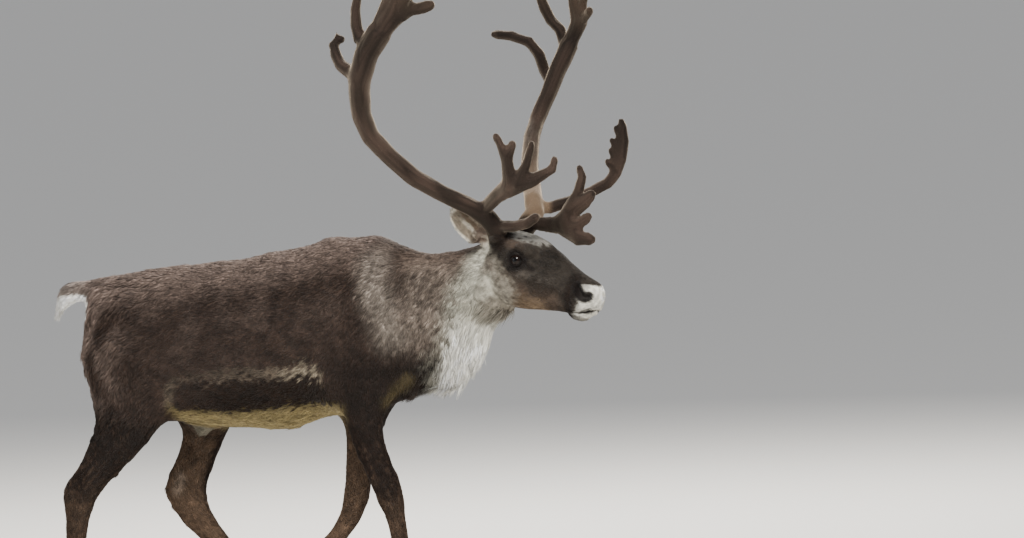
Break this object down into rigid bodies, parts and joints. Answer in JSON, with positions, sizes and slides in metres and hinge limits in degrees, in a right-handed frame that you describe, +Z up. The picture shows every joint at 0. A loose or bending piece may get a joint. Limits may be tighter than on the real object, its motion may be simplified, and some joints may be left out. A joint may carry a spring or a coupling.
{
  "type": "reindeer",
  "caption": "Life-size still model of a walking bull reindeer with branching antlers in velvet, a white throat mane and a short raised tail, standing on its hooves.",
  "frame": {"origin": "on the floor, under the middle of the box round the whole animal", "axes": "+X towards where the body faces, +Y towards the animal's left, +Z up"},
  "size_m": [1.7726, 1.0452, 2.056],
  "materials": {
    "coat_brown": "dense matte hair, dark chocolate brown with a pale line over a dark flank stripe and a cream belly",
    "coat_face": "short matte hair, brown-black face with a white muzzle ring and tan jaw",
    "coat_legs": "short matte hair, near black brown with paler flecks",
    "coat_pale": "longer matte hair, grey-white to white in the throat mane",
    "coat_white": "soft white hair with a brown stripe on top",
    "antler_velvet": "soft short velvet, dark brown with paler fuzzy edges",
    "hoof_horn": "worn satin horn, black-brown with fine growth rings",
    "eye": "wet glossy dark brown eye"
  },
  "bodies": {
    "root": {"hoof_hind_right_left": "hoof_horn", "dewclaw_hind_right_left": "hoof_horn", "hoof_hind_right_right": "hoof_horn", "dewclaw_hind_right_right": "hoof_horn", "hoof_hind_left_left": "hoof_horn", "dewclaw_hind_left_left": "hoof_horn", "hoof_hind_left_right": "hoof_horn", "dewclaw_hind_left_right": "hoof_horn", "hoof_fore_right_left": "hoof_horn", "dewclaw_fore_right_left": "hoof_horn", "hoof_fore_right_right": "hoof_horn", "dewclaw_fore_right_right": "hoof_horn", "hoof_fore_left_left": "hoof_horn", "dewclaw_fore_left_left": "hoof_horn", "hoof_fore_left_right": "hoof_horn", "dewclaw_fore_left_right": "hoof_horn", "antler_right_beam_lower": "antler_velvet", "antler_right_beam_upper": "antler_velvet", "antler_right_crown": "antler_velvet", "antler_right_brow_tine": "antler_velvet", "antler_right_bez_tine": "antler_velvet", "antler_right_back_tine": "antler_velvet", "antler_right_second_tine": "antler_velvet", "antler_left_beam_lower": "antler_velvet", "antler_left_beam_upper": "antler_velvet", "antler_left_crown": "antler_velvet", "antler_left_brow_tine": "antler_velvet", "antler_left_bez_tine": "antler_velvet", "antler_left_back_tine": "antler_velvet", "antler_left_second_tine": "antler_velvet", "eye_left": "eye", "eye_right": "eye", "ear_right": "coat_pale", "ear_left": "coat_pale", "head": "coat_face", "neck": "coat_pale", "tail": "coat_white", "leg_hind_right_lower": "coat_legs", "leg_hind_right_upper": "coat_brown", "leg_hind_left_lower": "coat_legs", "leg_hind_left_upper": "coat_brown", "leg_fore_right_lower": "coat_legs", "leg_fore_right_upper": "coat_brown", "leg_fore_left_lower": "coat_legs", "leg_fore_left_upper": "coat_brown", "trunk": "coat_brown"}
  },
  "joints": []
}
